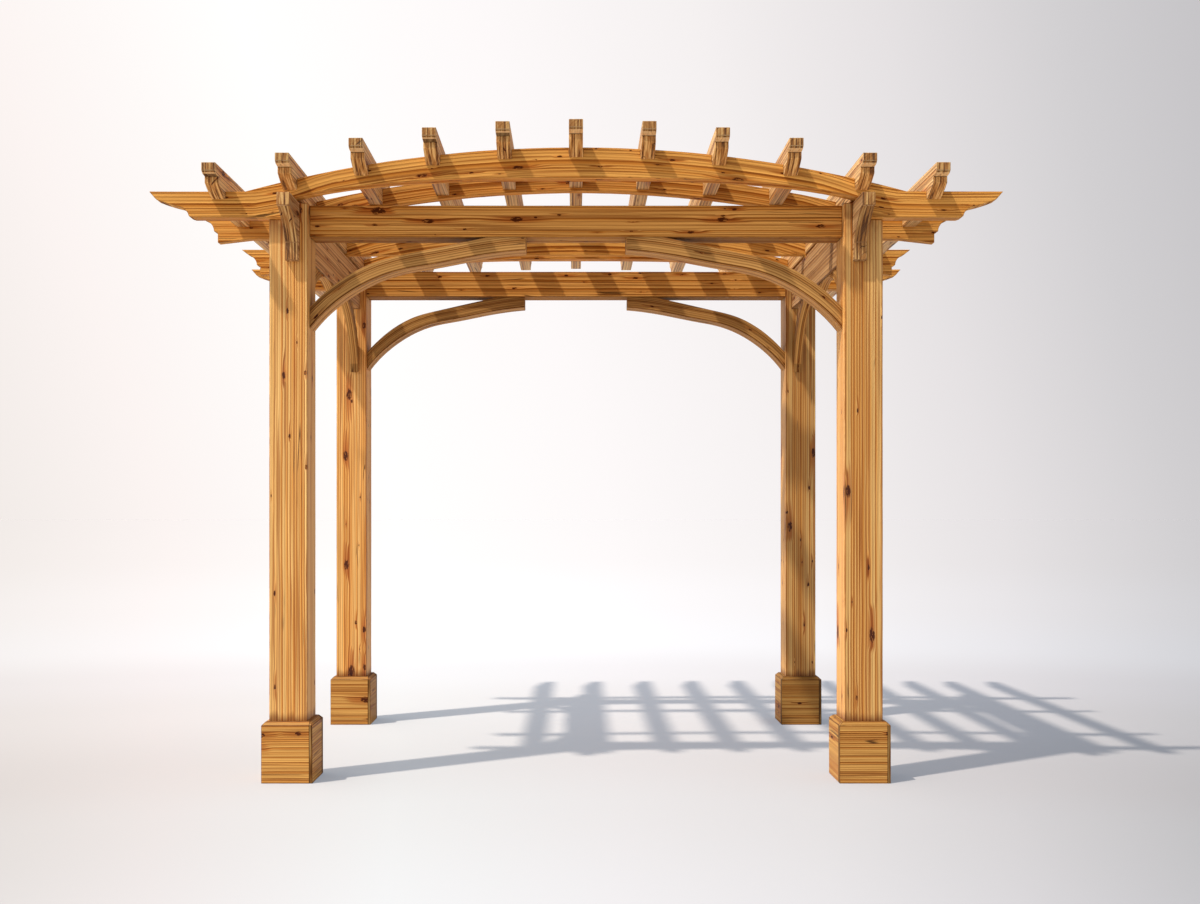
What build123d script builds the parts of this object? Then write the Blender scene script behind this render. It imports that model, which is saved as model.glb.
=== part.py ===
# Wooden pergola: four posts, arched crown beams front and rear, and eleven rafters.
# Millimetres, +Z up, origin on the floor under the middle of the roof, front towards -Y.

import os
from math import sqrt

from build123d import *

os.makedirs("parts", exist_ok=True)

# Posts
post_size = 150
post_spacing_x = 2260
post_spacing_y = 1325
top_level = 2275

# Boards that box in each post foot, each lapping the end of the next but for a lip
foot_board_thickness = 25
foot_board_height = 240
foot_board_chamfer = 14
foot_board_lip = 12

# Headers between the posts
header_height = 125
header_thickness = 110
header_setback = 40

# Side beams, let into the post tops; the nose curve is in shares of the overhang
side_beam_thickness = 50
side_beam_height = 185
side_beam_inset = 18
side_beam_overhang = 160
side_beam_nose = 50
side_beam_toe_drop = 45
side_beam_lap = 36
side_beam_curve_shares = (0.9, 0.45, 0.16)

# Crown beams, front and rear: an arch between two level ears
crown_thickness = 57
crown_proud = 30
crown_overhang = 462
crown_rise = 172
crown_middle_depth = 119
crown_heel_lift = 12
crown_seat_setback = 47
crown_haunch_shares = (0.74, 0.35)

# Ears of the crown beams, measured in from the tip and down from the top
ear_lift = 37
ear_start = 87
ear_depth = 102
ear_nose_run = 27
ear_nose_drop = 31
ear_shelf_run = 118
ear_shelf_drop = 60
ear_toe_run = 155
ear_toe_chamfer = 5
ear_heel_run = 170
ear_belly = 2
ear_hollow = 8

# Arched beams between the crowns, their ears measured as on the crowns; the rear one
# is deeper, its underside level and lifted a little above the side beams
arch_thickness = 40
arch_depth = 76
front_arch_offset_y = 400
rear_arch_offset_y = 275
rear_arch_lift = 12
arch_overhang = 385
arch_nose_run = 29
arch_nose_drop = 22
arch_lip_run = 45
arch_lip_drop = 30
arch_hollow_run = 72
arch_hollow_drop = 73
arch_hollow = 7
arch_toe_run = 88
arch_toe_drop = 80
arch_toe_depth = 121
arch_heel_run = 228
arch_heel_depth = 105

# Rafters, sunk a little into the crowns and the arched beams
rafter_count = 11
rafter_width = 54
rafter_depth = 131
outer_rafter_past_post = 190
rafter_rise = 68
ear_rafter_lift = 8
crown_notch = 24
arch_notch = 12
front_overhang = 160
rear_overhang = 660

# Nose of a rafter, measured in from the tip and down from the top
nose_height = 31
nose_chamfer_run = 14
nose_chamfer_drop = 40
nose_step = 42
nose_step_drop = 43
nose_second_drop = 67
nose_shoulder = 16
front_belly = 3
rear_belly = 9
rear_belly_run = 170

# Knee braces under the headers, flush with their outer faces; the curves are in
# shares of the reach and drop
front_brace_reach = 857
rear_brace_reach = 796
brace_thickness = 92
brace_drop = 364
brace_end_depth = 52
brace_foot_contact = 86
brace_lower_shares = ((0.08, 0.795), (0.18, 0.612), (0.29, 0.467), (0.42, 0.362),
                      (0.56, 0.302), (0.74, 0.222))
brace_upper_shares = ((0.82, 0), (0.65, 0.085), (0.44, 0.19), (0.3, 0.275), (0.2, 0.385),
                      (0.1, 0.545))

# Knee braces under the side beams, measured in the same way; the gap is between
# the ends of the front and rear ones
side_brace_thickness = 38
side_brace_gap = 65
side_brace_drop = 324
side_brace_end_depth = 34
side_brace_foot_contact = 122
side_brace_foot_run = 14
side_brace_foot_drop = 12
side_brace_lower_shares = ((0.1, 0.655), (0.216, 0.386), (0.36, 0.19))
side_brace_upper_shares = ((0.306, 0), (0.139, 0.262))

# Worked out from the sizes above
post_x = post_spacing_x / 2
post_y = post_spacing_y / 2
foot_size = post_size + 2 * foot_board_thickness
post_inner_x = post_x - post_size / 2
post_outer_x = post_x + post_size / 2
post_inner_y = post_y - post_size / 2
post_outer_y = post_y + post_size / 2
header_bottom = top_level - header_height
header_y = post_outer_y - header_setback - header_thickness / 2
side_beam_x = post_x - side_beam_inset
side_beam_inner = side_beam_x - side_beam_thickness / 2
side_beam_outer = side_beam_x + side_beam_thickness / 2
side_beam_bottom = top_level - side_beam_height
side_brace_reach = post_inner_y - side_brace_gap / 2
crown_outer_y = post_outer_y + crown_proud
crown_inner_y = crown_outer_y - crown_thickness
crown_y = (crown_outer_y + crown_inner_y) / 2
crown_seat_inner = post_inner_x + crown_seat_setback
crown_tip = post_outer_x + crown_overhang
ear_inner = post_outer_x + ear_start
ear_top = top_level + ear_lift
ear_bottom = ear_top - ear_depth
crown_top = ear_top + crown_rise
crown_radius = (ear_inner**2 + crown_rise**2) / (2 * crown_rise)
arch_tip = post_outer_x + arch_overhang
rafter_spacing = 2 * (post_outer_x + outer_rafter_past_post) / (rafter_count - 1)
crown_seat_drop = rafter_rise + crown_notch
arch_seat_drop = rafter_rise + arch_notch
rafter_front = post_outer_y + front_overhang
rafter_rear = post_outer_y + rear_overhang
mid_y = (front_overhang - rear_overhang) / 2

ends = {"front": -1, "rear": 1}
sides = {"left": -1, "right": 1}
arch_places = {"front": -front_arch_offset_y, "rear": rear_arch_offset_y}
rafter_places = [(i - (rafter_count - 1) / 2) * rafter_spacing for i in range(rafter_count)]
on_floor = (Align.CENTER, Align.CENTER, Align.MIN)


def arc_drop(x, radius=crown_radius):
    """How far an arc that is level at x = 0 has fallen at x."""
    return radius - sqrt(radius**2 - x**2)


def rafter_top(x):
    """Top face of the rafter at x, above the arc or above the level ear."""
    if abs(x) > ear_inner:
        return ear_top + rafter_rise + ear_rafter_lift
    return crown_top - arc_drop(x) + rafter_rise


def side_plane(x):
    """Upright plane facing +X, its sketch origin below the middle of the posts."""
    return Plane(origin=(x, mid_y, 0), x_dir=(0, 1, 0), z_dir=(1, 0, 0))


def front_plane(y):
    """Upright plane facing -Y, y away from the middle of the posts."""
    return Plane(origin=(0, mid_y + y, 0), x_dir=(1, 0, 0), z_dir=(0, -1, 0))


def save(builder, label):
    builder.part.label = label
    export_step(builder.part, f"parts/{label}.step")


def cut_rafter_seats(y, thickness, seat_drop):
    """Level notches in the top of the beam at y, one for each rafter."""
    for x in rafter_places:
        seat = rafter_top(x) - seat_drop
        with Locations((x, mid_y + y, seat)):
            Box(rafter_width, 2 * thickness, rafter_depth, align=on_floor, mode=Mode.SUBTRACT)


# Posts, each with a slot for the side beam and a housing for the crown beam
for end, ey in ends.items():
    for side, sx in sides.items():
        with BuildPart() as post:
            with Locations((sx * post_x, mid_y + ey * post_y, 0)):
                Box(post_size, post_size, top_level, align=on_floor)
            with Locations((sx * side_beam_x, mid_y + ey * post_y, side_beam_bottom)):
                Box(side_beam_thickness, post_size, side_beam_height,
                    align=on_floor, mode=Mode.SUBTRACT)
            housing_x = (crown_seat_inner + post_outer_x) / 2
            with Locations((sx * housing_x, mid_y + ey * crown_y, ear_bottom)):
                Box(post_outer_x - crown_seat_inner, crown_thickness, top_level,
                    align=on_floor, mode=Mode.SUBTRACT)
        save(post, f"{end}_{side}_post")

# Foot boards: long ones across the post's front and back, short ones at its sides
for end, ey in ends.items():
    for side, sx in sides.items():
        reach = (post_size + foot_board_thickness) / 2
        lip_reach = (foot_size - foot_board_lip) / 2
        for length in ("long", "short"):
            with BuildPart() as boards:
                with BuildSketch():
                    with Locations((sx * post_x, mid_y + ey * post_y)):
                        Rectangle(foot_size, foot_size)
                extrude(amount=foot_board_height)
                chamfer(boards.edges().group_by(Axis.Z)[-1], foot_board_chamfer)
                with BuildSketch():
                    with Locations((sx * post_x, mid_y + ey * post_y)), PolarLocations(0, 2):
                        if length == "long":
                            with Locations((-foot_board_lip / 2, -reach)):
                                Rectangle(foot_size - foot_board_lip, foot_board_thickness)
                        else:
                            with Locations((reach, 0)):
                                Rectangle(foot_board_thickness, post_size)
                            with Locations((lip_reach, -reach)):
                                Rectangle(foot_board_lip, foot_board_thickness)
                extrude(amount=foot_board_height, mode=Mode.INTERSECT)
            save(boards, f"{end}_{side}_foot_boards_{length}")

# Headers, butted between the posts
for end, ey in ends.items():
    with BuildPart() as header:
        with Locations((0, mid_y + ey * header_y, header_bottom)):
            Box(2 * post_inner_x, header_thickness, header_height, align=on_floor)
    save(header, f"{end}_header")

# Side beams with a nose and a hollow curve at each end
for side, sx in sides.items():
    beam_end = post_outer_y + side_beam_overhang
    nose_bottom = top_level - side_beam_nose
    start, middle, foot = [post_outer_y + side_beam_overhang * share
                           for share in side_beam_curve_shares]
    curve_foot = (foot, side_beam_bottom + side_beam_nose / 2)
    toe_bottom = side_beam_bottom - side_beam_toe_drop
    with BuildPart() as side_beam:
        with BuildSketch(side_plane(sx * side_beam_x - side_beam_thickness / 2)):
            with BuildLine():
                Polyline((0, top_level), (beam_end, top_level), (beam_end, nose_bottom),
                         (start, nose_bottom))
                ThreePointArc((start, nose_bottom), (middle, nose_bottom - side_beam_nose),
                              curve_foot)
                Polyline(curve_foot, (foot, toe_bottom), (post_outer_y, toe_bottom),
                         (post_outer_y, side_beam_bottom), (0, side_beam_bottom))
                mirror(about=Plane.YZ)
            make_face()
        extrude(amount=side_beam_thickness)
        for ey in ends.values():
            lap_x = (crown_seat_inner + side_beam_outer) / 2
            with Locations((sx * lap_x, mid_y + ey * crown_y, top_level - side_beam_lap)):
                Box(side_beam_outer - crown_seat_inner, crown_thickness, side_beam_height,
                    align=on_floor, mode=Mode.SUBTRACT)
    save(side_beam, f"{side}_side_beam")


def arched_top():
    """Top edge of a crown or arched beam, from its middle out to the level ear."""
    half_way = ear_inner / 2
    ThreePointArc((0, crown_top), (half_way, crown_top - arc_drop(half_way)),
                  (ear_inner, ear_top))


# Crown beams: arched top, shallow arched underside and stepped ears
for end, ey in ends.items():

    def on_ear(run, drop):
        return (crown_tip - run, ear_top - drop)

    toe_drop = ear_depth - ear_toe_chamfer
    heel = top_level + crown_heel_lift
    crown_bottom = crown_top - crown_middle_depth
    haunch_run, haunch_fall = crown_haunch_shares
    with BuildPart() as crown:
        with BuildSketch(front_plane(ey * crown_y + crown_thickness / 2)):
            with BuildLine():
                arched_top()
                Polyline((ear_inner, ear_top), on_ear(0, 0),
                         on_ear(ear_nose_run, ear_nose_drop))
                SagittaArc(on_ear(ear_nose_run, ear_nose_drop),
                           on_ear(ear_shelf_run, ear_shelf_drop), ear_belly)
                SagittaArc(on_ear(ear_shelf_run, ear_shelf_drop),
                           on_ear(ear_toe_run, toe_drop), -ear_hollow)
                Polyline(on_ear(ear_toe_run, toe_drop), on_ear(ear_heel_run, ear_depth),
                         (crown_seat_inner, ear_bottom), (crown_seat_inner, heel))
                Spline((crown_seat_inner, heel),
                       (crown_seat_inner * haunch_run,
                        crown_bottom - (crown_bottom - heel) * haunch_fall),
                       (0, crown_bottom), tangents=[(-1, 0.28), (-1, 0)])
                mirror(about=Plane.YZ)
            make_face()
        extrude(amount=crown_thickness)
        for sx in sides.values():
            with Locations((sx * side_beam_x, mid_y + ey * crown_y, ear_bottom)):
                Box(side_beam_thickness, crown_thickness,
                    top_level - side_beam_lap - ear_bottom,
                    align=on_floor, mode=Mode.SUBTRACT)
        cut_rafter_seats(ey * crown_y, crown_thickness, crown_seat_drop)
    save(crown, f"{end}_crown_beam")

# Arched beams that sit over the side beams, with an upswept ear at each end
for end, arch_y in arch_places.items():

    def on_ear(run, drop):
        return (arch_tip - run, ear_top - drop)

    under_radius = crown_radius - arch_depth
    arch_bottom = crown_top - arch_depth
    arch_heel = ear_top - arch_heel_depth
    spring = (side_beam_inner, arch_bottom - arc_drop(side_beam_inner, under_radius))
    half_way = side_beam_inner / 2
    level_bottom = top_level + rear_arch_lift
    with BuildPart() as arch:
        with BuildSketch(front_plane(arch_y + arch_thickness / 2)):
            with BuildLine():
                arched_top()
                Polyline((ear_inner, ear_top), on_ear(0, 0),
                         on_ear(arch_nose_run, arch_nose_drop),
                         on_ear(arch_lip_run, arch_lip_drop))
                SagittaArc(on_ear(arch_lip_run, arch_lip_drop),
                           on_ear(arch_hollow_run, arch_hollow_drop), -arch_hollow)
                Polyline(on_ear(arch_hollow_run, arch_hollow_drop),
                         on_ear(arch_toe_run, arch_toe_drop),
                         on_ear(arch_toe_run, arch_toe_depth),
                         on_ear(arch_heel_run, arch_heel_depth),
                         (side_beam_outer, arch_heel), (side_beam_outer, top_level),
                         (side_beam_inner, top_level))
                if end == "rear":
                    Polyline((side_beam_inner, top_level), (side_beam_inner, level_bottom),
                             (0, level_bottom))
                else:
                    Line((side_beam_inner, top_level), spring)
                    ThreePointArc(spring, (half_way,
                                           arch_bottom - arc_drop(half_way, under_radius)),
                                  (0, arch_bottom))
                mirror(about=Plane.YZ)
            make_face()
        extrude(amount=arch_thickness)
        cut_rafter_seats(arch_y, arch_thickness, arch_seat_drop)
    save(arch, f"{end}_arch_beam")

# Knee braces under the headers, square cut where they meet the header and the post
for end, ey in ends.items():
    reach = front_brace_reach if end == "front" else rear_brace_reach
    foot_top = brace_drop - brace_foot_contact
    brace_y = post_outer_y - header_setback - brace_thickness / 2
    for side, sx in sides.items():

        def at(u, v):
            return (sx * (post_inner_x - u), header_bottom - v)

        with BuildPart() as brace:
            with BuildSketch(front_plane(ey * brace_y + brace_thickness / 2)):
                with BuildLine():
                    Line(at(0, foot_top), at(0, brace_drop))
                    Spline(at(0, brace_drop),
                           *[at(reach * u, brace_drop * v) for u, v in brace_lower_shares],
                           at(reach, brace_end_depth))
                    upper = [at(reach * u, brace_drop * v) for u, v in brace_upper_shares]
                    Polyline(at(reach, brace_end_depth), at(reach, 0), upper[0])
                    Spline(*upper, at(0, foot_top))
                make_face()
            extrude(amount=brace_thickness)
        save(brace, f"{end}_{side}_brace")

# Short knee braces under the side beams
for end, ey in ends.items():
    foot_bottom = side_brace_drop - side_brace_foot_drop
    foot_top = foot_bottom - side_brace_foot_contact
    for side, sx in sides.items():

        def at(u, v):
            return (ey * (post_inner_y - u), side_beam_bottom - v)

        with BuildPart() as side_brace:
            with BuildSketch(side_plane(sx * side_beam_x - side_brace_thickness / 2)):
                with BuildLine():
                    Polyline(at(0, foot_top), at(0, foot_bottom),
                             at(side_brace_foot_run, side_brace_drop))
                    Spline(at(side_brace_foot_run, side_brace_drop),
                           *[at(side_brace_reach * u, side_brace_drop * v)
                             for u, v in side_brace_lower_shares],
                           at(side_brace_reach, side_brace_end_depth))
                    upper = [at(side_brace_reach * u, side_brace_drop * v)
                             for u, v in side_brace_upper_shares]
                    Polyline(at(side_brace_reach, side_brace_end_depth),
                             at(side_brace_reach, 0), upper[0])
                    Spline(*upper, at(0, foot_top))
                make_face()
            extrude(amount=side_brace_thickness)
        save(side_brace, f"{end}_{side}_side_brace")


def nose(tip, outward, top):
    """Outline of a rafter's stepped nose, from its top corner down to its belly."""
    profile = ((0, 0), (0, nose_height), (nose_chamfer_run, nose_chamfer_drop),
               (nose_step, nose_step_drop), (nose_step, nose_second_drop))
    return [(tip - outward * run, top - drop) for run, drop in profile]


# Rafters: a stepped nose at each end, notched over the crowns and the arched beams
for number, x in enumerate(rafter_places, start=1):
    top = rafter_top(x)
    seat = top - crown_seat_drop
    underside = top - rafter_depth
    front_nose = nose(-rafter_front, -1, top)
    rear_nose = nose(rafter_rear, 1, top)
    rear_belly_start = (rafter_rear - rear_belly_run, underside)
    with BuildPart() as rafter:
        with BuildSketch(side_plane(x - rafter_width / 2)):
            with BuildLine():
                Polyline(*front_nose)
                shoulder = (-crown_outer_y, seat - nose_shoulder)
                SagittaArc(front_nose[-1], shoulder, -front_belly)
                Polyline(shoulder, (-crown_outer_y, seat), (-crown_inner_y, seat),
                         (-crown_inner_y, underside), (crown_inner_y, underside),
                         (crown_inner_y, seat), (crown_outer_y, seat),
                         (crown_outer_y, underside), rear_belly_start)
                SagittaArc(rear_belly_start, rear_nose[-1], rear_belly)
                Polyline(*reversed(rear_nose))
                Line(rear_nose[0], front_nose[0])
            make_face()
        extrude(amount=rafter_width)
        for arch_y in arch_places.values():
            with Locations((x, mid_y + arch_y, top - arch_seat_drop)):
                Box(rafter_width, arch_thickness, rafter_depth,
                    align=(Align.CENTER, Align.CENTER, Align.MAX), mode=Mode.SUBTRACT)
    save(rafter, f"rafter_{number:02d}")
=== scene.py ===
import math
import random

import bmesh
import bpy
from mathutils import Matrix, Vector, geometry, noise


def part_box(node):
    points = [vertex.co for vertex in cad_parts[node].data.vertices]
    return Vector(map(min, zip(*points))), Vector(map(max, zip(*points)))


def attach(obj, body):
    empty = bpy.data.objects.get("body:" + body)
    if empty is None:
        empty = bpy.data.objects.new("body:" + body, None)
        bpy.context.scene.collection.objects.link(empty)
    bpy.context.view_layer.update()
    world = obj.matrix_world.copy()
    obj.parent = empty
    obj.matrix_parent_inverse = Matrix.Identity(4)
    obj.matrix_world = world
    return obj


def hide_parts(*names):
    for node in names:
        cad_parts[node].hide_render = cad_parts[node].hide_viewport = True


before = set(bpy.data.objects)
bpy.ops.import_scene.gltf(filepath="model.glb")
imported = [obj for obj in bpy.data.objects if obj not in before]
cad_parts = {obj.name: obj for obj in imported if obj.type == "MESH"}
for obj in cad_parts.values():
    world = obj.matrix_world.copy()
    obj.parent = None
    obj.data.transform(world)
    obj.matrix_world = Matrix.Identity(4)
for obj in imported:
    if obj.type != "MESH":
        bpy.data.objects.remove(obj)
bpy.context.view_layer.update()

scene = bpy.context.scene
scene.view_settings.view_transform = "Standard"

# Camera: standing in front of the pergola, level, at chest height. The lens sees the
# whole front, and a small shift puts the way through a little left of and below the middle.
front_posts_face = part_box("front_left_post")[0].y
eye_distance = 4.712
eye_height = 1.042
front_point = (0, front_posts_face - eye_distance, eye_height)

view = bpy.data.cameras.new("view")
view.sensor_width = 36
view.lens = 36
view.shift_x = 0.020
view.shift_y = 0.054
viewer = bpy.data.objects.new("viewer", view)
viewer.location = front_point
viewer.rotation_euler = (math.radians(90), 0, 0)
scene.collection.objects.link(viewer)
scene.camera = viewer

# Light: one strong lamp high on the left and in front, like sun through a tall studio window,
# and pale walls at the sides that fill the shade, the left one brighter than the right.
sun_direction = Vector((0.443, 0.263, -0.857))
sun = bpy.data.lights.new("window", "SUN")
sun.energy = 4.7
sun.angle = math.radians(1.6)
sun.color = (1.0, 0.965, 0.90)
sun_lamp = bpy.data.objects.new("window_lamp", sun)
sun_lamp.rotation_euler = sun_direction.to_track_quat("-Z", "Y").to_euler()
scene.collection.objects.link(sun_lamp)


def feed(tree, socket, value):
    """Sets a socket to a number or colour, or links it to another node's output."""
    if isinstance(value, bpy.types.NodeSocket):
        tree.links.new(value, socket)
    else:
        socket.default_value = value


def reckon(tree, operation, *values):
    """The result of one Math node."""
    made = tree.nodes.new("ShaderNodeMath")
    made.operation = operation
    for socket, value in zip(made.inputs, values):
        feed(tree, socket, value)
    return made.outputs[0]


def share_of_way(tree, value, start, finish):
    """How far a value has come from start to finish, from 0 to 1."""
    made = tree.nodes.new("ShaderNodeMapRange")
    for socket, number in zip(made.inputs[:3], (value, start, finish)):
        feed(tree, socket, number)
    return made.outputs["Result"]


def tone_scale(tree, share, stops, easing="LINEAR"):
    """Tones laid along a scale from 0 to 1: each stop has its place and its tone."""
    made = tree.nodes.new("ShaderNodeValToRGB")
    feed(tree, made.inputs["Fac"], share)
    scale = made.color_ramp
    scale.interpolation = easing
    first, *between, last = stops
    scale.elements[0].color = (*first[1], 1)
    scale.elements[1].color = (*last[1], 1)
    for place, tone in between:
        scale.elements.new(place).color = (*tone, 1)
    return made.outputs["Color"]


def blend(tree, amount, first, second, way="MIX"):
    """A colour mixed from two others."""
    made = tree.nodes.new("ShaderNodeMix")
    made.data_type = "RGBA"
    made.blend_type = way
    feed(tree, made.inputs["Factor"], amount)
    for name, colour in (("A", first), ("B", second)):
        feed(tree, made.inputs[name], colour)
    return made.outputs["Result"]


def behind_the_view(tree, lights_by, shows):
    """A shader that lights the pergola by the first and shows the second to the camera."""
    rays = tree.nodes.new("ShaderNodeLightPath")
    choose = tree.nodes.new("ShaderNodeMixShader")
    tree.links.new(rays.outputs["Is Camera Ray"], choose.inputs["Fac"])
    tree.links.new(lights_by, choose.inputs[1])
    tree.links.new(shows, choose.inputs[2])
    return choose.outputs[0]


wall_tones = ((-1.0, (0.93, 0.90, 0.89)), (-0.70, (0.90, 0.86, 0.84)),
              (-0.447, (0.88, 0.83, 0.80)), (-0.322, (0.975, 0.91, 0.89)),
              (-0.148, (1.02, 1.01, 1.0)), (0.03, (0.99, 0.955, 0.955)),
              (0.196, (0.915, 0.88, 0.88)), (0.335, (0.79, 0.76, 0.77)),
              (0.454, (0.64, 0.625, 0.64)), (0.56, (0.54, 0.53, 0.55)),
              (0.64, (0.56, 0.55, 0.57)), (0.82, (0.76, 0.75, 0.76)),
              (1.0, (0.86, 0.85, 0.86)))
backdrop = bpy.data.node_groups.new("backdrop_tones", "ShaderNodeTree")
backdrop.interface.new_socket("Across", in_out="INPUT", socket_type="NodeSocketFloat")
backdrop.interface.new_socket("Color", in_out="OUTPUT", socket_type="NodeSocketColor")
given = backdrop.nodes.new("NodeGroupInput").outputs
wall_colour = tone_scale(backdrop, share_of_way(backdrop, given["Across"], -1.0, 1.0),
                         [((across + 1) / 2, tone) for across, tone in wall_tones])
backdrop.links.new(wall_colour, backdrop.nodes.new("NodeGroupOutput").inputs["Color"])

surround = bpy.data.worlds.new("surround")
surround.use_nodes = True
scene.world = surround
tree = surround.node_tree
tree.nodes.clear()
directions = tree.nodes.new("ShaderNodeTexCoord")
split = tree.nodes.new("ShaderNodeSeparateXYZ")
tree.links.new(directions.outputs["Generated"], split.inputs[0])
wall_lean = 0.28
wall = tree.nodes.new("ShaderNodeGroup")
wall.node_tree = backdrop
feed(tree, wall.inputs["Across"],
     reckon(tree, "MULTIPLY_ADD", split.outputs["Z"], wall_lean, split.outputs["X"]))
seen_wall = tree.nodes.new("ShaderNodeBackground")
tree.links.new(wall.outputs["Color"], seen_wall.inputs["Color"])
left_wall, overhead, right_wall = 2.20, 0.30, 0.90
fill_tone = (0.96, 0.96, 1.0)
side_light = tone_scale(tree, share_of_way(tree, split.outputs["X"], -1.0, 1.0),
                        ((0.0, (left_wall,) * 3), (0.5, (overhead,) * 3),
                         (1.0, (right_wall,) * 3)), "EASE")
fill = tree.nodes.new("ShaderNodeBackground")
feed(tree, fill.inputs["Color"], blend(tree, 1.0, side_light, (*fill_tone, 1), "MULTIPLY"))
world_out = tree.nodes.new("ShaderNodeOutputWorld")
tree.links.new(behind_the_view(tree, fill.outputs[0], seen_wall.outputs[0]),
               world_out.inputs["Surface"])

# Floor: a wide pale studio floor that runs into the wall with no edge and keeps the shadow.
# Its tones fan out from the point in front, and it glows a little by itself, so that the
# shadow on it stays light and cool.
floor_reach = 400
bm = bmesh.new()
bmesh.ops.create_grid(bm, x_segments=1, y_segments=1, size=floor_reach)
floor_mesh = bpy.data.meshes.new("studio_floor")
bm.to_mesh(floor_mesh)
bm.free()
studio_floor = bpy.data.objects.new("studio_floor", floor_mesh)
scene.collection.objects.link(studio_floor)

floor_paint = bpy.data.materials.new("floor_paint")
floor_paint.use_nodes = True
tree = floor_paint.node_tree
tree.nodes.clear()
place = tree.nodes.new("ShaderNodeTexCoord")
from_front = tree.nodes.new("ShaderNodeVectorMath")
from_front.operation = "SUBTRACT"
from_front.inputs[1].default_value = front_point
tree.links.new(place.outputs["Object"], from_front.inputs[0])
toward = tree.nodes.new("ShaderNodeVectorMath")
toward.operation = "NORMALIZE"
tree.links.new(from_front.outputs[0], toward.inputs[0])
split = tree.nodes.new("ShaderNodeSeparateXYZ")
tree.links.new(toward.outputs[0], split.inputs[0])
across_floor = tree.nodes.new("ShaderNodeGroup")
across_floor.node_tree = backdrop
tree.links.new(split.outputs["X"], across_floor.inputs["Across"])

steepest = 0.313
floor_tones = ((0.0, (1.0, 1.0, 1.0)), (0.030, (1.01, 1.01, 1.01)), (0.070, (1.04, 1.05, 1.06)),
               (0.103, (1.05, 1.075, 1.10)), (0.127, (0.985, 0.99, 1.01)),
               (0.151, (0.95, 0.95, 0.955)), (0.198, (0.875, 0.87, 0.87)),
               (0.233, (0.89, 0.90, 0.905)), (steepest, (0.92, 0.935, 0.95)))
nearer_floor = tone_scale(tree, share_of_way(tree, split.outputs["Z"], 0.0, -steepest),
                          [(fall / steepest, tone) for fall, tone in floor_tones], "EASE")
floor_tone = blend(tree, 1.0, across_floor.outputs["Color"], nearer_floor, "MULTIPLY")

shadow_takes = (0.50, 0.457, 0.40)
side_share = 0.2075
sun_on_floor = [sun.energy * -sun_direction.z / math.pi * part for part in sun.color]
fill_on_floor = overhead + (left_wall + right_wall - 2 * overhead) * side_share
paint = [taken / light for taken, light in zip(shadow_takes, sun_on_floor)]
glow = [1 - taken - part * fill_on_floor * tint
        for taken, part, tint in zip(shadow_takes, paint, fill_tone)]
own_glow = tree.nodes.new("ShaderNodeEmission")
feed(tree, own_glow.inputs["Color"], blend(tree, 1.0, floor_tone, (*glow, 1), "MULTIPLY"))
lit_paint = tree.nodes.new("ShaderNodeBsdfDiffuse")
feed(tree, lit_paint.inputs["Color"], blend(tree, 1.0, floor_tone, (*paint, 1), "MULTIPLY"))
seen_floor = tree.nodes.new("ShaderNodeAddShader")
tree.links.new(own_glow.outputs[0], seen_floor.inputs[0])
tree.links.new(lit_paint.outputs[0], seen_floor.inputs[1])
bounce = tree.nodes.new("ShaderNodeBsdfDiffuse")
bounce.inputs["Color"].default_value = (0.44, 0.42, 0.41, 1)
floor_out = tree.nodes.new("ShaderNodeOutputMaterial")
tree.links.new(behind_the_view(tree, bounce.outputs[0], seen_floor.outputs[0]),
               floor_out.inputs["Surface"])
studio_floor.data.materials.append(floor_paint)


# Posts: four 150 mm square sawn softwood posts, oiled, standing on the floor. Their arrises
# are eased, the growth rings show as upright stripes, and small dark knots are scattered.
def step(tree, value, low, high, to_low=0.0, to_high=1.0):
    """A smooth step of value, from to_low at low to to_high at high."""
    made = tree.nodes.new("ShaderNodeMapRange")
    made.interpolation_type = "SMOOTHSTEP"
    for socket, number in zip(made.inputs[:5], (value, low, high, to_low, to_high)):
        feed(tree, socket, number)
    return made.outputs["Result"]


def clouds(tree, parts, stretch, detail=2.0, roughness=0.5):
    """Noise over the timber, with the counts per metre along, across and through it."""
    joined = tree.nodes.new("ShaderNodeCombineXYZ")
    for socket, part, count in zip(joined.inputs, parts, stretch):
        feed(tree, socket, reckon(tree, "MULTIPLY", part, count))
    made = tree.nodes.new("ShaderNodeTexNoise")
    made.inputs["Scale"].default_value = 1.0
    made.inputs["Detail"].default_value = detail
    made.inputs["Roughness"].default_value = roughness
    feed(tree, made.inputs["Vector"], joined.outputs[0])
    return made.outputs["Fac"]


def cells_of(tree, place, feature):
    """Flat cells strewn over the timber, one to each place where a knot may be."""
    made = tree.nodes.new("ShaderNodeTexVoronoi")
    made.voronoi_dimensions = "2D"
    made.feature = feature
    made.inputs["Scale"].default_value = 1.0
    feed(tree, made.inputs["Vector"], place)
    return made.outputs


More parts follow.
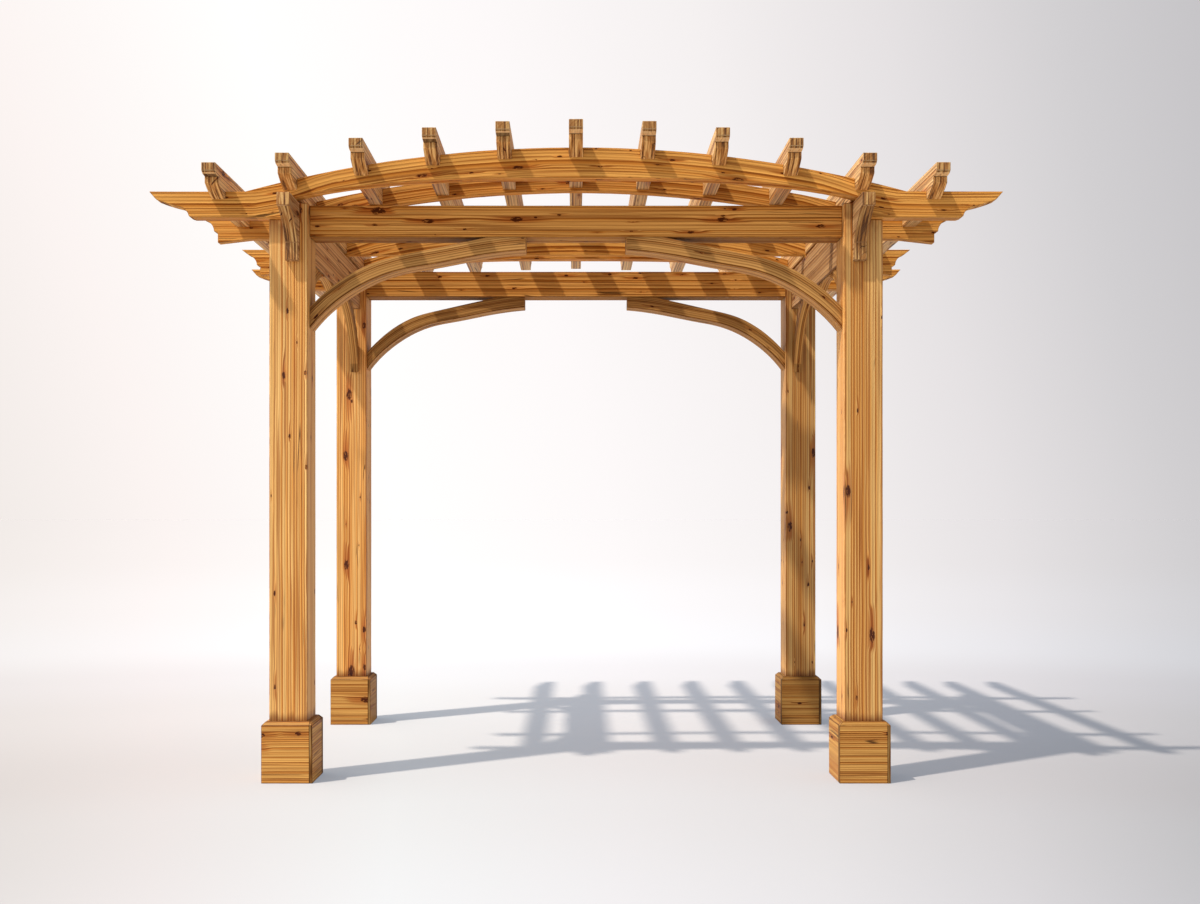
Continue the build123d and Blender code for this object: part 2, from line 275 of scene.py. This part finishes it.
def knots(tree, along, around, counts, size, chance, ragged):
    """Knots strewn along and round the timber: where they are, and the stain about them.

    counts gives the cells in a metre along it and in a radian round its pith. size is how
    much of its cell a knot fills, and chance how many of the cells have one."""
    joined = tree.nodes.new("ShaderNodeCombineXYZ")
    feed(tree, joined.inputs[0], reckon(tree, "MULTIPLY", along, counts[0]))
    feed(tree, joined.inputs[1], reckon(tree, "MULTIPLY", around, counts[1]))
    cells = cells_of(tree, joined.outputs[0], "F1")
    dice = tree.nodes.new("ShaderNodeSeparateColor")
    feed(tree, dice.inputs[0], cells["Color"])
    here = reckon(tree, "LESS_THAN", dice.outputs[0], chance)
    own_size = reckon(tree, "MULTIPLY_ADD", dice.outputs[1], size, size * 0.45)

    reach = reckon(tree, "DIVIDE", cells["Distance"], own_size)
    reach = reckon(tree, "ADD", reach, reckon(tree, "MULTIPLY_ADD", ragged, 1.4, -0.70))
    core = reckon(tree, "MULTIPLY", step(tree, reach, 0.70, 1.05, 1.0, 0.0), here)

    from_knot = tree.nodes.new("ShaderNodeVectorMath")
    from_knot.operation = "SUBTRACT"
    feed(tree, from_knot.inputs[0], joined.outputs[0])
    feed(tree, from_knot.inputs[1], cells["Position"])
    offsets = tree.nodes.new("ShaderNodeSeparateXYZ")
    feed(tree, offsets.inputs[0], from_knot.outputs[0])
    lengthwise = reckon(tree, "MULTIPLY", offsets.outputs[0], 0.30)
    oval = reckon(tree, "SQRT", reckon(
        tree, "ADD", reckon(tree, "MULTIPLY", lengthwise, lengthwise),
        reckon(tree, "MULTIPLY", offsets.outputs[1], offsets.outputs[1])))
    halo = step(tree, reckon(tree, "DIVIDE", oval, own_size), 0.3, 2.1, 1.0, 0.0)
    border = cells_of(tree, joined.outputs[0], "DISTANCE_TO_EDGE")
    inside = step(tree, border["Distance"], 0.0, 0.13)
    stain = reckon(tree, "MULTIPLY", here, reckon(tree, "MULTIPLY", halo, inside))
    return core, stain


timber = bpy.data.node_groups.new("sawn_softwood", "ShaderNodeTree")
for label, kind, number in (("Grain", "NodeSocketVector", None), ("End", "NodeSocketFloat", 0.0),
                            ("Arris", "NodeSocketFloat", 0.0), ("Tone", "NodeSocketFloat", 1.0),
                            ("Joint shade", "NodeSocketFloat", 0.0), ("Pale", "NodeSocketColor", None),
                            ("Warm", "NodeSocketColor", None), ("Dark", "NodeSocketColor", None),
                            ("Edge", "NodeSocketColor", None),
                            ("Ring width", "NodeSocketFloat", 0.009),
                            ("Sway", "NodeSocketFloat", 0.012),
                            ("Knots", "NodeSocketFloat", 0.5)):
    socket = timber.interface.new_socket(label, in_out="INPUT", socket_type=kind)
    if number is not None:
        socket.default_value = number
for label, kind in (("Color", "NodeSocketColor"), ("Roughness", "NodeSocketFloat"),
                    ("Height", "NodeSocketFloat")):
    timber.interface.new_socket(label, in_out="OUTPUT", socket_type=kind)
given = timber.nodes.new("NodeGroupInput").outputs
split = timber.nodes.new("ShaderNodeSeparateXYZ")
timber.links.new(given["Grain"], split.inputs[0])
along, wide, deep = split.outputs
parts = (along, wide, deep)
pith_distance = reckon(timber, "SQRT", reckon(
    timber, "ADD", reckon(timber, "MULTIPLY", wide, wide), reckon(timber, "MULTIPLY", deep, deep)))
pith_angle = reckon(timber, "ARCTAN2", deep, wide)

# Knots and small pin knots, with ragged rims.
knot_size = 0.075
knot_counts, pin_counts = (3.4, 7.0), (8.0, 16.0)
ragged = clouds(timber, parts, (70, 210, 210), detail=3, roughness=0.6)
knot, knot_stain = knots(timber, along, pith_angle, knot_counts, knot_size, given["Knots"], ragged)
pin_chance = reckon(timber, "MULTIPLY", given["Knots"], 0.60)
pin, pin_stain = knots(timber, along, pith_angle, pin_counts, knot_size, pin_chance, ragged)
knot = reckon(timber, "MAXIMUM", knot, pin)
knot_stain = reckon(timber, "MAXIMUM", knot_stain, reckon(timber, "MULTIPLY", pin_stain, 0.6))

# Growth rings round the pith, each with its own strength, that sway and bend round the knots.
quick_sway_reach, knot_bend = 0.0014, 0.006
late_begins, late_ends, early_fades = (0.42, 0.80), (0.92, 1.0), (0.08, 0.34)
slow_sway = reckon(timber, "MULTIPLY_ADD", clouds(timber, parts, (0.8, 2.2, 2.2), detail=2), 2, -1)
quick_sway = reckon(timber, "MULTIPLY_ADD", clouds(timber, parts, (4.5, 14, 14), detail=2), 2, -1)
swayed = reckon(timber, "MULTIPLY_ADD", slow_sway, given["Sway"], pith_distance)
swayed = reckon(timber, "MULTIPLY_ADD", quick_sway, quick_sway_reach, swayed)
swayed = reckon(timber, "MULTIPLY_ADD", knot_stain, knot_bend, swayed)
spacing = clouds(timber, (swayed, 0.0, 0.0), (24, 0, 0), detail=1)
ring_count = reckon(timber, "MULTIPLY_ADD", spacing, 3.0,
                    reckon(timber, "DIVIDE", swayed, given["Ring width"]))
ring_part = reckon(timber, "FRACT", ring_count)
ring_number = timber.nodes.new("ShaderNodeTexWhiteNoise")
ring_number.noise_dimensions = "1D"
timber.links.new(reckon(timber, "FLOOR", ring_count), ring_number.inputs["W"])
ring_dice = ring_number.outputs["Value"]
late = reckon(timber, "MULTIPLY", step(timber, ring_part, *late_begins),
              step(timber, ring_part, *late_ends, 1.0, 0.0))
late = reckon(timber, "MULTIPLY", late, reckon(timber, "MULTIPLY_ADD", ring_dice, 0.70, 0.30))
early = step(timber, ring_part, *early_fades, 0.55, 0.0)


def streaks(long_count, ring_rate, round_rate, detail=1.0):
    """Noise drawn out along the timber and kept to its rings."""
    return clouds(timber, (along, swayed, pith_angle), (long_count, ring_rate, round_rate), detail)


# Fibres, cream and dark streaks, paler and browner patches, and cracks along the grain.
fibre = streaks(2.0, 330, 26, detail=2)
cream = step(timber, streaks(1.1, 130, 12), 0.55, 0.66)
hair = step(timber, streaks(1.3, 190, 17), 0.56, 0.66)
patch = clouds(timber, parts, (0.7, 7, 7), detail=2)
crack_line = reckon(timber, "ABSOLUTE", reckon(timber, "SUBTRACT", streaks(1.2, 34, 5), 0.5))
crack_where = step(timber, clouds(timber, parts, (3.2, 16, 16), detail=1), 0.63, 0.70)
crack = reckon(timber, "MULTIPLY", step(timber, crack_line, 0.006, 0.020, 1.0, 0.0), crack_where)

# The colour of the faces: pale and warm rings, dark late wood and hair streaks, fine fibres.
fibre_depths = (0.9, 1.05, 1.2)
resin_stain = (0.62, 0.34, 0.19, 1)
warmth = reckon(timber, "ADD", reckon(timber, "MULTIPLY", patch, 0.9),
                reckon(timber, "MULTIPLY_ADD", ring_dice, 1.1, -0.55))
colour = blend(timber, step(timber, warmth, 0.0, 0.9), given["Pale"], given["Warm"])
colour = blend(timber, reckon(timber, "MAXIMUM", reckon(timber, "MULTIPLY", cream, 0.8), early),
               colour, given["Pale"])
colour = blend(timber, reckon(timber, "MULTIPLY", late, 0.92), colour, given["Dark"])
colour = blend(timber, reckon(timber, "MULTIPLY", hair, 0.62), colour, given["Dark"])
shade = timber.nodes.new("ShaderNodeCombineColor")
for socket, weight in zip(shade.inputs, fibre_depths):
    feed(timber, socket, reckon(timber, "MULTIPLY_ADD", fibre, weight, 1 - weight / 2))
colour = blend(timber, 1.0, colour, shade.outputs[0], "MULTIPLY")
colour = blend(timber, reckon(timber, "MULTIPLY", knot_stain, 0.8), colour, resin_stain, "MULTIPLY")

# The ends, streaked by the saw, then the knots, the cracks, the worn arrises, and the painted shade
# at the joints.
end_dark, end_brown = (0.12, 0.034, 0.006, 1), (0.52, 0.215, 0.048, 1)
end_pale = (0.92, 0.54, 0.19, 1)
knot_dark, knot_brown = (0.085, 0.016, 0.002, 1), (0.40, 0.13, 0.024, 1)
crack_dark = (0.06, 0.020, 0.007, 1)
painted_joint_shade = (0.34, 0.22, 0.15, 1)
saw_marks = clouds(timber, parts, (12, 115, 10), detail=3, roughness=0.6)
end_streaks = clouds(timber, parts, (7, 150, 7), detail=1.5)
end_colour = blend(timber, step(timber, end_streaks, 0.38, 0.47), end_dark, end_brown)
end_colour = blend(timber, step(timber, end_streaks, 0.52, 0.62), end_colour, end_pale)
colour = blend(timber, reckon(timber, "MULTIPLY", given["End"], 0.88), colour, end_colour)
flecks = step(timber, clouds(timber, parts, (55, 160, 160), detail=2), 0.56, 0.62)
colour = blend(timber, knot, colour, blend(timber, flecks, knot_dark, knot_brown))
colour = blend(timber, reckon(timber, "MULTIPLY", crack, 0.85), colour, crack_dark)
worn = reckon(timber, "MULTIPLY", given["Arris"], step(timber, saw_marks, 0.38, 0.56, 0.35, 0.95))
colour = blend(timber, worn, colour, given["Edge"])
# Painted shade at the joints: the posts darkened near the foot boards and over the head.
colour = blend(timber, given["Joint shade"], colour, painted_joint_shade, "MULTIPLY")
whole = timber.nodes.new("ShaderNodeCombineColor")
for socket in whole.inputs:
    feed(timber, socket, given["Tone"])
colour = blend(timber, 1.0, colour, whole.outputs[0], "MULTIPLY")

# The relief: raised late wood and fibres, saw marks on the ends, sunk knots and cracks.
height = reckon(timber, "MULTIPLY_ADD", late, 0.35, reckon(timber, "MULTIPLY", fibre, 0.5))
height = reckon(timber, "MULTIPLY_ADD", reckon(timber, "MULTIPLY", saw_marks, given["End"]), 1.2,
                height)
height = reckon(timber, "SUBTRACT", height, crack)
height = reckon(timber, "MULTIPLY_ADD", knot, -0.5, height)
rough = reckon(timber, "MULTIPLY_ADD", late, -0.12, 0.56)
rough = reckon(timber, "MULTIPLY_ADD", given["End"], 0.2, rough)
put_out = timber.nodes.new("NodeGroupOutput").inputs
for label, result in (("Color", colour), ("Roughness", rough), ("Height", height)):
    timber.links.new(result, put_out[label])


def timber_finish(name, pale, warm, dark, edge, ring_width, sway, knottiness, joints=None,
                  shine=0.22):
    """Oiled softwood: the sawn_softwood pattern on a plain surface with a little shine.

    joints, where given, are the heights of a foot and a head joint, where painted shade darkens the
    timber."""
    made = bpy.data.materials.new(name)
    made.use_nodes = True
    tree = made.node_tree
    shader = tree.nodes["Principled BSDF"]
    shader.inputs["Specular IOR Level"].default_value = shine
    pattern = tree.nodes.new("ShaderNodeGroup")
    pattern.node_tree = timber
    for label in ("grain", "end", "arris", "tone"):
        reads = tree.nodes.new("ShaderNodeAttribute")
        reads.attribute_name = label
        tree.links.new(reads.outputs["Vector" if label == "grain" else "Fac"],
                       pattern.inputs[label.capitalize()])
    for label, value in (("Pale", pale), ("Warm", warm), ("Dark", dark), ("Edge", edge)):
        pattern.inputs[label].default_value = (*value, 1)
    for label, value in (("Ring width", ring_width), ("Sway", sway), ("Knots", knottiness)):
        pattern.inputs[label].default_value = value
    if joints:
        foot_joint, head_joint = joints
        place = tree.nodes.new("ShaderNodeTexCoord")
        spot = tree.nodes.new("ShaderNodeSeparateXYZ")
        tree.links.new(place.outputs["Object"], spot.inputs[0])
        seep = clouds(tree, spot.outputs, (60, 60, 6), detail=2)
        lifted = reckon(tree, "MULTIPLY_ADD", seep, -0.06, spot.outputs["Z"])
        # Painted shade: a thin uneven dark band just above the foot boards, and blotches over the
        # head from the header's underside up.
        painted_foot_shade = step(tree, lifted, foot_joint - 0.03, foot_joint + 0.012, 0.85, 0.0)
        painted_head_shade = step(tree, spot.outputs["Z"], head_joint - 0.04, head_joint + 0.06, 0.0, 0.55)
        blotch = step(tree, clouds(tree, spot.outputs, (22, 22, 9), detail=2), 0.42, 0.60)
        stain = reckon(tree, "MULTIPLY_ADD", painted_head_shade, blotch, painted_foot_shade)
        tree.links.new(stain, pattern.inputs["Joint shade"])
    bump = tree.nodes.new("ShaderNodeBump")
    bump.inputs["Strength"].default_value = 1.0
    bump.inputs["Distance"].default_value = 0.0009
    tree.links.new(pattern.outputs["Height"], bump.inputs["Height"])
    tree.links.new(bump.outputs["Normal"], shader.inputs["Normal"])
    tree.links.new(pattern.outputs["Color"], shader.inputs["Base Color"])
    tree.links.new(pattern.outputs["Roughness"], shader.inputs["Roughness"])
    return made


weld = 0.00002
flat_within, sharp_from = math.radians(0.4), math.radians(28)
squarely = 0.7


def sawn_copy(node, arris):
    """The node's shape as one clean mesh, its sharp edges eased by arris metres."""
    bm = bmesh.new()
    bm.from_mesh(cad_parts[node].data)
    bmesh.ops.remove_doubles(bm, verts=bm.verts, dist=weld)
    bmesh.ops.dissolve_limit(bm, angle_limit=flat_within, verts=bm.verts, edges=bm.edges)
    layer = bm.faces.layers.int.new("eased")
    sharp = [e for e in bm.edges if e.is_manifold and e.calc_face_angle() > sharp_from]
    made = bmesh.ops.bevel(bm, geom=sharp, offset=arris, offset_type="OFFSET", segments=2,
                           profile=0.5, affect="EDGES", material=-1, clamp_overlap=True)
    for face in made["faces"]:
        face[layer] = 1
    return bm


def slice_at(bm, point, normal):
    """Cuts the faces where a plane crosses them, and keeps both sides."""
    bmesh.ops.bisect_plane(bm, geom=bm.verts[:] + bm.edges[:] + bm.faces[:], dist=0.0001,
                           plane_co=point, plane_no=normal)


def cut_across(bm, axis, spacing):
    """Cuts the timber across its length, so that its edges can be a little uneven."""
    places = [v.co[axis] for v in bm.verts]
    low, high = min(places), max(places)
    normal = Vector([float(i == axis) for i in range(3)])
    count = max(2, round((high - low) / spacing))
    for i in range(1, count):
        slice_at(bm, normal * (low + (high - low) * i / count), normal)


noise.seed_set(5)


def saw_unevenly(bm, amount, count=5.0):
    """Moves the surface in and out by up to amount metres, as a saw leaves it."""
    for vert in bm.verts:
        shift = noise.noise_vector(vert.co * count)
        vert.co += shift * amount


def dress(bm, name, node, grain_of, finish, tone, tone_of):
    """Makes the finished piece, with its grain, end grain and arrises marked for the finish.

    tone is how light the timber is. tone_of changes it by a face's middle, its normal and
    how much of it is end grain."""
    mesh = bpy.data.meshes.new(name)
    layer = bm.faces.layers.int["eased"]
    eased = [float(face[layer]) for face in bm.faces]
    probe, side_grain, to_end_grain = 0.002, 0.12, 0.25
    ends = []
    tones = []
    for face in bm.faces:
        middle = face.calc_center_median()
        travel = Vector(grain_of(middle + face.normal * probe)) - Vector(grain_of(middle))
        ends.append(min(1.0, max(0.0, (abs(travel.x) / probe - side_grain) / to_end_grain)))
        tones.append(tone * tone_of(middle, face.normal, ends[-1]))
    bm.to_mesh(mesh)
    bm.free()
    grain = mesh.attributes.new("grain", "FLOAT_VECTOR", "POINT")
    for place, vert in zip(grain.data, mesh.vertices):
        place.vector = grain_of(vert.co)
    for label, marks in (("end", ends), ("arris", eased), ("tone", tones)):
        marked = mesh.attributes.new(label, "FLOAT", "FACE")
        marked.data.foreach_set("value", marks)
    for polygon in mesh.polygons:
        polygon.use_smooth = True
    piece = bpy.data.objects.new(name, mesh)
    scene.collection.objects.link(piece)
    mesh.materials.append(finish)
    soften = piece.modifiers.new("even_shading", "WEIGHTED_NORMAL")
    soften.weight = 80
    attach(piece, "root")
    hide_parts(node)


def straight_grain(axis, node, pith):
    """Grain that runs along one axis; pith is where the tree's centre was, off the middle."""
    low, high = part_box(node)
    middle = (low + high) / 2
    across, through = [i for i in range(3) if i != axis]
    own_stretch = sum(ord(letter) * (i + 3) for i, letter in enumerate(node)) * 0.0137 % 7

    def grain_of(place):
        return (place[axis] + own_stretch, place[across] - middle[across] + pith[0],
                place[through] - middle[through] + pith[1])

    return grain_of


foot_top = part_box("front_left_foot_boards_long")[1].z
header_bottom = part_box("front_header")[0].z
post_finish = timber_finish("post_timber", pale=(1.0, 0.60, 0.205), warm=(0.80, 0.345, 0.068),
                            dark=(0.40, 0.105, 0.010), edge=(0.46, 0.16, 0.026),
                            ring_width=0.0080, sway=0.003, knottiness=0.42,
                            joints=(foot_top, header_bottom))
post_piths = {"front_left": (0.42, 0.46), "front_right": (-0.40, 0.50),
              "rear_left": (0.52, -0.38), "rear_right": (-0.46, 0.44)}
# How light each corner's posts and foot boards are: partly the timber's own tone, partly painted
# shade, darker to the right and darkest at the rear right, under the roof.
corner_tones_and_painted_shade = {"front_left": 0.745, "front_right": 0.60, "rear_left": 0.82, "rear_right": 0.50}
painted_light_left = 1.30


def post_tone(middle, normal, end):
    """The sides that look left, to the lamp, are painted lighter: painted light."""
    return painted_light_left if normal.x < -squarely else 1.0


for corner, pith in post_piths.items():
    node = f"{corner}_post"
    bm = sawn_copy(node, arris=0.003)
    cut_across(bm, axis=2, spacing=0.16)
    saw_unevenly(bm, amount=0.0007)
    dress(bm, f"{corner}_sawn_post", node, straight_grain(2, node, pith), post_finish,
          corner_tones_and_painted_shade[corner], post_tone)

# Foot boards: 25 mm softwood boards nailed round each foot with their grain level. Each laps
# the end of the next, whose end grain shows as a dark strip, and the top edges are chamfered.
foot_finish = timber_finish("foot_board_timber", pale=(0.84, 0.44, 0.115),
                            warm=(0.66, 0.26, 0.046), dark=(0.23, 0.055, 0.006),
                            edge=(0.13, 0.038, 0.007), ring_width=0.0070, sway=0.003,
                            knottiness=0.45, shine=0.10)
board_piths = {"long": (0.30, 0.42), "short": (0.36, -0.38)}
# How light each row of foot boards is: the rear boards are darker.
board_lightness = {"front": 1.0, "rear": 0.82}
painted_shade_chamfer, dark_end, painted_shade_right = 0.74, 0.46, 0.86


def foot_tone(middle, normal, end):
    """The chamfered tops and the sides that look right are painted darker, as painted shade; the
    end grain is dark.
    """
    if normal.z > 0.2:
        return painted_shade_chamfer
    return (dark_end if end > 0.6 else 1.0) * (painted_shade_right if normal.x > squarely else 1.0)


for corner in post_piths:
    row_lightness = board_lightness[corner.split("_")[0]]
    for kind, axis in (("long", 0), ("short", 1)):
        node = f"{corner}_foot_boards_{kind}"
        bm = sawn_copy(node, arris=0.002)
        cut_across(bm, axis, spacing=0.06)
        saw_unevenly(bm, amount=0.0008, count=9.0)
        dress(bm, f"{corner}_{kind}_boards", node, straight_grain(axis, node, board_piths[kind]),
              foot_finish, corner_tones_and_painted_shade[corner] * row_lightness, foot_tone)

# Headers: one heavy softwood beam at the front and one at the rear, fixed between the posts.
# The grain is long and level, and the underside is painted darker than the faces, as painted shade.
beam_finish = timber_finish("beam_timber", pale=(0.90, 0.43, 0.105), warm=(0.68, 0.255, 0.040),
                            dark=(0.26, 0.064, 0.007), edge=(0.44, 0.18, 0.038),
                            ring_width=0.0094, sway=0.006, knottiness=0.60, shine=0.02)
painted_shade_underside = 0.80


def header_tone(middle, normal, end):
    """The underside is painted darker than the faces: painted shade."""
    return painted_shade_underside if normal.z < -squarely else 1.0


for end, pith, tone in (("front", (0.34, 0.40), 0.67), ("rear", (-0.36, 0.42), 0.62)):
    node = f"{end}_header"
    bm = sawn_copy(node, arris=0.003)
    cut_across(bm, axis=0, spacing=0.14)
    saw_unevenly(bm, amount=0.0007)
    dress(bm, f"{end}_sawn_header", node, straight_grain(0, node, pith), beam_finish,
          tone, header_tone)

# Side beams: softwood planks on edge from front to rear, let into the post tops, their ends
# sawn to a nose with a hollow curve below it.
plank_finish = timber_finish("side_beam_timber", pale=(0.86, 0.50, 0.215),
                             warm=(0.62, 0.30, 0.100), dark=(0.25, 0.083, 0.022),
                             edge=(0.46, 0.22, 0.080), ring_width=0.0100, sway=0.006,
                             knottiness=0.45)
rear_posts_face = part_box("rear_left_post")[1].y
painted_shade_nose_side, painted_shade_nose = 0.74, 0.95


def plank_tone(middle, normal, end):
    """The noses outside the posts are painted darker, most on their sides: painted shade."""
    if front_posts_face < middle.y < rear_posts_face:
        return 1.0
    return painted_shade_nose_side if abs(normal.x) > squarely else painted_shade_nose


for side, pith, tone in (("left", (0.40, 0.38), 0.68), ("right", (-0.42, 0.36), 0.55)):
    node = f"{side}_side_beam"
    bm = sawn_copy(node, arris=0.0025)
    cut_across(bm, axis=1, spacing=0.14)
    saw_unevenly(bm, amount=0.0007)
    dress(bm, f"{side}_sawn_side_beam", node, straight_grain(1, node, pith), plank_finish,
          tone, plank_tone)

# Crown beams and arched beams: glued up from bent softwood boards and bandsawn to shape, so
# the grain follows the arch and comes level in the ears. The crowns are let into the post
# tops, and the arched beams sit over the side beams. The sawn edges are a little uneven.
arch_finish = timber_finish("arch_timber", pale=(0.84, 0.41, 0.095), warm=(0.63, 0.235, 0.035),
                            dark=(0.25, 0.060, 0.006), edge=(0.54, 0.24, 0.055),
                            ring_width=0.0098, sway=0.005, knottiness=0.62, shine=0.04)
arch_piths = {"front_crown_beam": (0.40, 0.36, 2.7), "rear_crown_beam": (0.38, -0.34, 5.1),
              "front_arch_beam": (0.42, 0.30, 8.4), "rear_arch_beam": (0.36, 0.38, 11.6)}
ear_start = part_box("front_right_post")[1].x + 0.087
ear_tip = 0.02
levels_before, levels_over = 0.35, 0.42
arch_lightness = 0.76
painted_light_underside = 1.30


def arched_grain(node, pith):
    """Grain that follows the arch's curve between its ears, and comes level in the ears.

    The third number of pith is how far along the tree the piece was."""
    low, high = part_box(node)
    shape = [v.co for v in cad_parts[node].data.vertices]
    ear_top = max(v.z for v in shape if abs(v.x) > high.x - ear_tip)
    rise = high.z - ear_top
    radius = (ear_start**2 + rise**2) / (2 * rise)
    middle_y = (low.y + high.y) / 2

    def grain_of(place):
        on_arch = math.hypot(place.x, place.z - (high.z - radius)) - radius
        share = min(1.0, max(0.0, (abs(place.x) - ear_start + levels_before) / levels_over))
        share = share * share * (3 - 2 * share)
        fall = on_arch + (place.z - ear_top - on_arch) * share
        return (place.x + pith[2], fall + pith[0], place.y - middle_y + pith[1])

    return grain_of


def arch_tone(middle, normal, end):
    """The undersides between the ears are painted paler: painted light from below."""
    return painted_light_underside if normal.z < -squarely and abs(middle.x) < ear_start else 1.0


for node, pith in arch_piths.items():
    bm = sawn_copy(node, arris=0.0025)
    cut_across(bm, axis=0, spacing=0.105)
    saw_unevenly(bm, amount=0.0010)
    dress(bm, f"sawn_{node}", node, arched_grain(node, pith), arch_finish,
          arch_lightness, arch_tone)

# Knee braces: curved softwood pieces, eight in all, set between post and header and between
# post and side beam. Their grain follows the curve, in wavy dark lines.
brace_finish = timber_finish("brace_timber", pale=(0.64, 0.325, 0.095),
                             warm=(0.43, 0.172, 0.037), dark=(0.10, 0.026, 0.004),
                             edge=(0.46, 0.215, 0.065), ring_width=0.0086, sway=0.010,
                             knottiness=0.34, shine=0.05)
brace_lightness = {"front": 0.67, "rear": 0.62}
painted_light_hollow = 1.45
hub_drop, curve_length = 0.3, 1.3


def curved_grain(node, lie, through, pith):
    """Grain that follows the brace's lower curve. lie is the level axis in its plane."""
    source = bmesh.new()
    source.from_mesh(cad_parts[node].data)
    bmesh.ops.remove_doubles(source, verts=source.verts, dist=weld)
    below = set()
    for face in source.faces:
        if face.normal.z < -0.05 and abs(face.normal[through]) < 0.1:
            below.update((round(v.co[lie], 5), round(v.co.z, 5)) for v in face.verts)
    source.free()
    curve = [Vector(point) for point in sorted(below)]
    lengths = [0.0]
    for first, second in zip(curve, curve[1:]):
        lengths.append(lengths[-1] + (second - first).length)
    low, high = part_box(node)
    middle = (low[through] + high[through]) / 2

    def grain_of(place):
        flat = Vector((place[lie], place.z))
        best = None
        for i, (first, second) in enumerate(zip(curve, curve[1:])):
            nearest, share = geometry.intersect_point_line(flat, first, second)
            share = min(1.0, max(0.0, share))
            nearest = first.lerp(second, share)
            distance = (flat - nearest.to_2d()).length
            if best is None or distance < best[0]:
                best = (distance, lengths[i] + share * (second - first).length)
        return (best[1] + pith[2], best[0] + pith[0], place[through] - middle + pith[1])

    return grain_of


def cut_round(bm, lie, span_middle, spacing):
    """Cuts the brace across its curve, as spokes from a point below its free end.

    span_middle is the middle of the span that the brace's free end reaches towards."""
    low = Vector([min(v.co[i] for v in bm.verts) for i in range(3)])
    high = Vector([max(v.co[i] for v in bm.verts) for i in range(3)])
    toward_middle = -1 if abs(low[lie] - span_middle) < abs(high[lie] - span_middle) else 1
    hub = (low + high) / 2
    hub[lie] = low[lie] if toward_middle < 0 else high[lie]
    hub.z = low.z - (high.z - low.z) * hub_drop
    count = round((high[lie] - low[lie]) * curve_length / spacing)
    for i in range(1, count):
        angle = math.pi / 2 * i / count
        normal = Vector((0, 0, math.sin(angle)))
        normal[lie] = toward_middle * math.cos(angle)
        slice_at(bm, hub, normal)


def brace_tone(middle, normal, end):
    """The hollow underside is painted paler: painted light from below."""
    return painted_light_hollow if normal.z < -0.3 else 1.0


side_span_middle = (front_posts_face + rear_posts_face) / 2
number = 0
for end in ("front", "rear"):
    for side in ("left", "right"):
        for kind, lie, through, span_middle in (("brace", 0, 1, 0.0),
                                                ("side_brace", 1, 0, side_span_middle)):
            number += 1
            node = f"{end}_{side}_{kind}"
            bm = sawn_copy(node, arris=0.0025)
            cut_round(bm, lie, span_middle, spacing=0.05)
            saw_unevenly(bm, amount=0.0008)
            pith = (0.34, 0.30, number * 1.7)
            dress(bm, f"{end}_{side}_sawn_{kind}", node, curved_grain(node, lie, through, pith),
                  brace_finish, brace_lightness[end], brace_tone)

# Rafters: eleven softwood rafters on edge, notched over the crowns and arches, each with a
# stepped nose at both ends: a brown block, a pale worn ledge brightened by a painted highlight,
# a dark line of painted shade under it, and a belly painted paler as painted light.
rafter_finish = timber_finish("rafter_timber", pale=(0.95, 0.58, 0.235),
                              warm=(0.62, 0.27, 0.068), dark=(0.18, 0.050, 0.009),
                              edge=(0.72, 0.45, 0.210), ring_width=0.0100, sway=0.006,
                              knottiness=0.55)
rafter_lightness = 0.74
nose_from = -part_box("front_crown_beam")[0].y
block_depth, ledge_depth, line_depth, face_depth = 0.0365, 0.0415, 0.045, 0.060
# The ledge's lightness is a painted highlight, the line's darkness painted shade; the block is
# brown end grain.
nose_bands_and_painted_light = ((block_depth, 0.71), (ledge_depth, 1.40), (line_depth, 0.40), (face_depth, 1.0))
# The belly below the nose is painted paler: painted light.
painted_light_belly = 1.20
draw = random.Random(11)


def nose_tone_below(top):
    """How light the parts of a nose are, by how far they lie below the rafter's top."""
    def tone_of(middle, normal, end):
        if abs(middle.y) < nose_from or abs(normal.x) > squarely or normal.z > squarely:
            return 1.0
        for depth, share in nose_bands_and_painted_light:
            if top - middle.z < depth:
                return share
        return painted_light_belly
    return tone_of


def wear_and_highlight_ledge(bm, top):
    """Marks the ledge under a nose's block as worn and pale, its paleness partly a painted
    highlight, and the arrises below it as not.
    """
    layer = bm.faces.layers.int["eased"]
    for face in bm.faces:
        middle = face.calc_center_median()
        below = top - middle.z
        if abs(middle.y) > nose_from and abs(face.normal.x) < squarely and below > block_depth:
            face[layer] = int(below < ledge_depth)


for node in sorted(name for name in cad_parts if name.startswith("rafter_")):
    bm = sawn_copy(node, arris=0.0022)
    cut_across(bm, axis=1, spacing=0.16)
    saw_unevenly(bm, amount=0.0008)
    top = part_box(node)[1].z
    slice_at(bm, (0, 0, top - block_depth), (0, 0, 1))
    wear_and_highlight_ledge(bm, top)
    pith = (draw.choice((-1, 1)) * draw.uniform(0.28, 0.45), draw.uniform(0.3, 0.45))
    dress(bm, f"sawn_{node}", node, straight_grain(1, node, pith), rafter_finish,
          rafter_lightness, nose_tone_below(top))
